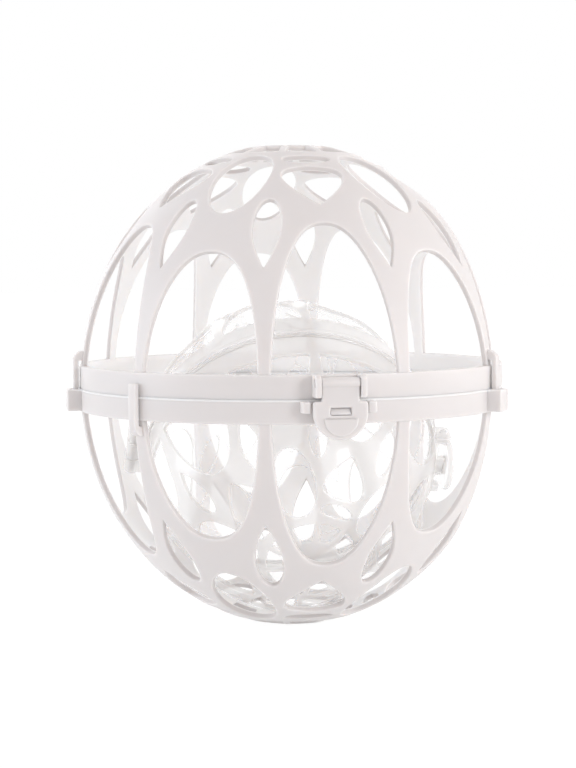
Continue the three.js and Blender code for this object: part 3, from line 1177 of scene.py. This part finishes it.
def seen_directly(tree: bpy.types.NodeTree) -> bpy.types.NodeSocket:
    """Mask of the rays to which the surround and the floor show as plain white.

    Args:
        tree: node tree of the floor or of the world.

    Returns:
        Output that is 1 for camera, glossy and transmission rays.
    """
    path = tree.nodes.new("ShaderNodeLightPath").outputs
    either = math_node(tree, "MAXIMUM", path["Is Camera Ray"], path["Is Glossy Ray"])
    return math_node(tree, "MAXIMUM", either, path["Is Transmission Ray"])


class MouldedSurface:
    """Node group of a moulded surface.

    It gives a mottled colour, paler inside the ball by painted light and darker on the windows' edges by
    painted shade, an uneven gloss and a ripple.
    """

    NAME = "moulded surface"
    GRAIN_SHARE = 0.25
    MIDDLE = 0.5

    def __init__(self) -> None:
        """Builds the group once."""
        self.tree = bpy.data.node_groups.new(self.NAME, "ShaderNodeTree")
        face = self.tree.interface
        for name in ("Flow Scale", "Gloss", "Gloss Spread"):
            face.new_socket(name, in_out="INPUT", socket_type="NodeSocketFloat")
        # the third colour is painted light inside the ball, the fourth painted shade on the windows' edges
        for name in ("Pale", "Dull", "Painted Inner Light", "Edge"):
            face.new_socket(name, in_out="INPUT", socket_type="NodeSocketColor")
        face.new_socket("Colour", in_out="OUTPUT", socket_type="NodeSocketColor")
        for name in ("Inward", "Roughness", "Ripple"):
            face.new_socket(name, in_out="OUTPUT", socket_type="NodeSocketFloat")
        self._wire()

    def _wire(self) -> None:
        """Places and links the group's nodes."""
        tree, link = self.tree, self.tree.links.new
        given = tree.nodes.new("NodeGroupInput").outputs
        out = tree.nodes.new("NodeGroupOutput").inputs
        coordinates = tree.nodes.new("ShaderNodeTexCoord").outputs["Object"]
        flow = tree.nodes.new("ShaderNodeTexNoise")
        flow.inputs["Detail"].default_value = 4.0
        flow.inputs["Distortion"].default_value = 0.8
        link(coordinates, flow.inputs["Vector"])
        link(given["Flow Scale"], flow.inputs["Scale"])
        grain = tree.nodes.new("ShaderNodeTexNoise")
        grain.inputs["Scale"].default_value = 900.0
        grain.inputs["Detail"].default_value = 3.0
        link(coordinates, grain.inputs["Vector"])
        flowed, grained = flow.outputs["Fac"], grain.outputs["Fac"]
        painted_mark = tree.nodes.new("ShaderNodeAttribute")
        painted_mark.attribute_name = PAINTED_LIGHT_AND_SHADE
        # painted light: share of the pale inside colour
        inside = math_node(tree, "MAXIMUM", painted_mark.outputs["Fac"], 0.0)
        # painted shade: share of the darker colour on the windows' edges
        edge = math_node(tree, "MULTIPLY", painted_mark.outputs["Fac"], -1.0, clamp=True)
        mottled = colour_mix(tree, flowed, given["Pale"], given["Dull"])
        edge_shaded = colour_mix(tree, edge, mottled, given["Edge"])
        link(colour_mix(tree, inside, edge_shaded, given["Painted Inner Light"]), out["Colour"])
        link(inside, out["Inward"])
        uneven = math_node(tree, "SUBTRACT", flowed, self.MIDDLE)
        link(math_node(tree, "MULTIPLY_ADD", uneven, given["Gloss Spread"], given["Gloss"]), out["Roughness"])
        link(math_node(tree, "MULTIPLY_ADD", grained, self.GRAIN_SHARE, flowed), out["Ripple"])


@dataclass(frozen=True)
class Plastic:
    """Moulded plastic finish; the depths to which light goes in and of its ripple are in metres."""

    name: str
    pale: Colour
    dull: Colour
    # inner: painted light, a paler colour on the inside of the ball
    inner: Colour
    # edge: painted shade, a darker colour on the edges of the windows
    edge: Colour
    flow_scale: float
    gloss: float
    gloss_spread: float
    ripple: float
    glow_depth: float
    glow_radius: Triple = (1.0, 0.95, 0.9)
    ripple_depth: float = 0.0003
    ior: float = 1.49
    coat: float = 0.0
    coat_gloss: float = 0.08
    alpha: float = 1.0
    inner_alpha: float = 1.0

    def material(self, surface: MouldedSurface) -> bpy.types.Material:
        """Material of this finish.

        Args:
            surface: the shared group of a moulded surface.

        Returns:
            The new material.
        """
        made = bpy.data.materials.new(self.name)
        made.use_nodes = True
        nodes, link = made.node_tree.nodes, made.node_tree.links.new
        shader = nodes["Principled BSDF"]
        shader.inputs["IOR"].default_value = self.ior
        shader.inputs["Coat Weight"].default_value = self.coat
        shader.inputs["Coat Roughness"].default_value = self.coat_gloss
        shader.inputs["Subsurface Weight"].default_value = 1.0
        shader.inputs["Subsurface Radius"].default_value = self.glow_radius
        shader.inputs["Subsurface Scale"].default_value = self.glow_depth
        moulded = nodes.new("ShaderNodeGroup")
        moulded.node_tree = surface.tree
        moulded.inputs["Flow Scale"].default_value = self.flow_scale
        moulded.inputs["Gloss"].default_value = self.gloss
        moulded.inputs["Gloss Spread"].default_value = self.gloss_spread
        moulded.inputs["Pale"].default_value = self.pale
        moulded.inputs["Dull"].default_value = self.dull
        # painted light inside the ball and painted shade on the windows' edges
        moulded.inputs["Painted Inner Light"].default_value = self.inner
        moulded.inputs["Edge"].default_value = self.edge
        if self.alpha < 1:
            self.see_through(made.node_tree, moulded, shader)
        bump = nodes.new("ShaderNodeBump")
        bump.inputs["Strength"].default_value = self.ripple
        bump.inputs["Distance"].default_value = self.ripple_depth
        link(moulded.outputs["Ripple"], bump.inputs["Height"])
        link(moulded.outputs["Colour"], shader.inputs["Base Color"])
        link(moulded.outputs["Roughness"], shader.inputs["Roughness"])
        link(bump.outputs["Normal"], shader.inputs["Normal"])
        return made

    def see_through(self, tree: bpy.types.NodeTree, moulded: bpy.types.Node, shader: bpy.types.Node) -> None:
        """Makes a wall hazy once, on the face that a ray meets first, and clearer on the inside of the ball.

        Args:
            tree: node tree of the material.
            moulded: group of the moulded surface in it.
            shader: shader whose alpha is set.
        """
        haze = tree.nodes.new("ShaderNodeMix")
        haze.inputs["A"].default_value = self.alpha
        haze.inputs["B"].default_value = self.inner_alpha
        tree.links.new(moulded.outputs["Inward"], haze.inputs["Factor"])
        geometry = tree.nodes.new("ShaderNodeNewGeometry")
        met_first = math_node(tree, "SUBTRACT", 1.0, geometry.outputs["Backfacing"])
        hazy_once = math_node(tree, "MULTIPLY", haze.outputs["Result"], met_first)
        tree.links.new(hazy_once, shader.inputs["Alpha"])


@dataclass(frozen=True)
class Lamp:
    """Large soft square lamp; its place and side are in metres and its power in watts."""

    name: str
    at: Triple
    side: float
    power: float
    colour: Triple

    def hang(self, target: Vector) -> None:
        """Sets the lamp up so that it faces a target.

        Args:
            target: what it faces, in metres.
        """
        data = bpy.data.lights.new(self.name, "AREA")
        data.shape = "SQUARE"
        data.size = self.side
        data.energy = self.power
        data.color = self.colour
        holder = bpy.data.objects.new(self.name, data)
        holder.location = self.at
        holder.rotation_euler = (target - Vector(self.at)).to_track_quat("-Z", "Y").to_euler()
        bpy.context.scene.collection.objects.link(holder)


@dataclass
class Studio:
    """Pale floor, soft lamps, white surround and the camera."""

    lamps: tuple[Lamp, ...]
    focal_px: float = 1952.7
    long_side_px: float = 768.0
    distance: float = 0.7254
    elevation: float = 3.884
    azimuth: float = -11.476
    roll: float = 0.414
    target: Triple = (-0.00102, 0.00021, 0.0875)
    surround: float = 0.71
    surround_colour: Colour = (1.0, 0.94, 0.93, 1.0)
    floor_half: float = 6.0
    floor_colour: Colour = (0.94, 0.94, 0.94, 1.0)
    floor_white: float = 0.85
    floor_glow: float = 0.2
    white_strength: float = 1.08

    def camera(self) -> None:
        """Camera at the photograph's viewing angle."""
        data = bpy.data.cameras.new("camera")
        data.sensor_width = 36.0
        data.lens = self.focal_px / self.long_side_px * data.sensor_width
        data.clip_start = 0.01
        data.clip_end = 50.0
        turn, rise = math.radians(self.azimuth), math.radians(self.elevation)
        away = Vector((math.sin(turn) * math.cos(rise), -math.cos(turn) * math.cos(rise), math.sin(rise)))
        right = Vector((math.cos(turn), math.sin(turn), 0))
        up = away.cross(right)
        axes = Matrix((right, up, away)).transposed().to_4x4()
        lean = Matrix.Rotation(math.radians(-self.roll), 4, "Z")
        holder = bpy.data.objects.new("camera", data)
        holder.matrix_world = Matrix.Translation(Vector(self.target) + away * self.distance) @ axes @ lean
        bpy.context.scene.collection.objects.link(holder)
        bpy.context.scene.camera = holder

    def world(self) -> None:
        """Even light from all round, seen as white."""
        world = bpy.data.worlds.new("surround")
        bpy.context.scene.world = world
        world.use_nodes = True
        tree = world.node_tree
        tree.nodes.clear()
        lit = tree.nodes.new("ShaderNodeBackground")
        lit.inputs["Color"].default_value = self.surround_colour
        lit.inputs["Strength"].default_value = self.surround
        white = tree.nodes.new("ShaderNodeBackground")
        white.inputs["Color"].default_value = (1.0, 1.0, 1.0, 1.0)
        white.inputs["Strength"].default_value = 1.0
        out = tree.nodes.new("ShaderNodeOutputWorld")
        tree.links.new(shader_mix(tree, seen_directly(tree), lit, white), out.inputs["Surface"])

    def floor_paint(self) -> bpy.types.Material:
        """Paint of the floor: almost plain white when seen directly, and a faint glow to other rays.

        Returns:
            The new material.
        """
        paint = bpy.data.materials.new("pale_floor")
        paint.use_nodes = True
        tree = paint.node_tree
        shader = tree.nodes["Principled BSDF"]
        shader.inputs["Base Color"].default_value = self.floor_colour
        shader.inputs["Roughness"].default_value = 0.9
        shader.inputs["Specular IOR Level"].default_value = 0.0
        white = tree.nodes.new("ShaderNodeEmission")
        white.inputs["Strength"].default_value = self.white_strength
        more = self.floor_white - self.floor_glow
        share = math_node(tree, "MULTIPLY_ADD", seen_directly(tree), more, self.floor_glow)
        out = tree.nodes["Material Output"]
        tree.links.new(shader_mix(tree, share, shader, white), out.inputs["Surface"])
        return paint

    def floor(self) -> None:
        """Wide pale floor that keeps a soft shadow of the ball."""
        mesh = bmesh.new()
        bmesh.ops.create_grid(mesh, x_segments=4, y_segments=4, size=self.floor_half)
        data = bpy.data.meshes.new("floor")
        mesh.to_mesh(data)
        mesh.free()
        data.materials.append(self.floor_paint())
        floor = bpy.data.objects.new("floor", data)
        bpy.context.scene.collection.objects.link(floor)

    def build(self) -> None:
        """Sets up the camera, the surround, the floor and the lamps."""
        bpy.context.scene.view_settings.view_transform = "Standard"
        self.camera()
        self.world()
        self.floor()
        for lamp in self.lamps:
            lamp.hang(Vector(self.target))


OUTER_SIZES = BallSizes(
    name="outer", slot="white_plastic", ring_radius=78.3, ring_height=8.3, ring_wall=2.8, band_height=8.3,
    rib_drop=0.4, wall=2.2, half_height=87.5, hub_radius=14.0, spoke_width=2.6, hinge_middle=10.0,
    hinge_side=8.6, upper_fingers=(-90.0, 54.0), lower_fingers=(-54.0,), spacing=1.6, edge_round=0.6,
)
INNER_SIZES = BallSizes(
    name="inner", slot="clear_plastic", ring_radius=55.2, ring_height=2.4, ring_wall=2.8, band_height=11.4,
    rib_drop=0.7, wall=1.8, half_height=62.5, hub_radius=10.0, spoke_width=2.4, hinge_middle=7.0,
    hinge_side=5.7, upper_fingers=(), lower_fingers=(), spacing=1.25, edge_round=0.45,
)
# In both finishes inner is painted light that makes the inside of a ball paler and edge is painted shade on
# the windows' edges.
WHITE_PLASTIC = Plastic(
    name="white_plastic_moulded", pale=(0.765, 0.745, 0.74, 1.0), dull=(0.735, 0.715, 0.71, 1.0),
    inner=(0.98, 0.975, 0.97, 1.0), edge=(0.66, 0.635, 0.63, 1.0), flow_scale=55.0, gloss=0.42,
    gloss_spread=0.1, ripple=0.12, glow_depth=0.0015,
)
CLEAR_PLASTIC = Plastic(
    name="clear_plastic_moulded", pale=(0.78, 0.77, 0.765, 1.0), dull=(0.74, 0.73, 0.725, 1.0),
    inner=(0.97, 0.97, 0.96, 1.0), edge=(0.72, 0.71, 0.7, 1.0), flow_scale=70.0, gloss=0.14,
    gloss_spread=0.06, ripple=0.1, glow_depth=0.002, coat=0.5, alpha=0.6, inner_alpha=0.18,
)
LAMPS = (
    Lamp(name="key_lamp", at=(0.75, -1.15, 0.42), side=0.35, power=5.2, colour=(0.97, 0.985, 1.0)),
    Lamp(name="left_lamp", at=(-1.3, 0.1, 0.3), side=1.0, power=8.2, colour=(0.85, 0.93, 1.0)),
    Lamp(name="right_lamp", at=(1.3, -0.15, 0.3), side=0.9, power=4.4, colour=(1.0, 0.985, 0.965)),
    Lamp(name="back_lamp", at=(0.0, 1.4, 0.3), side=1.6, power=6.5, colour=(1.0, 1.0, 1.0)),
)


def main() -> None:
    """Builds the studio and both balls."""
    logging.basicConfig(level=logging.INFO, format="%(name)s: %(message)s")
    Studio(LAMPS).build()
    surface = MouldedSurface()
    for sizes, finish in ((OUTER_SIZES, WHITE_PLASTIC), (INNER_SIZES, CLEAR_PLASTIC)):
        ball = Ball(sizes, Openwork(), Latch(), Hinge(), Alignment(), PaintedLightAndShadeMark())
        ball.dress(finish.material(surface))


if __name__ == "__main__":
    main()
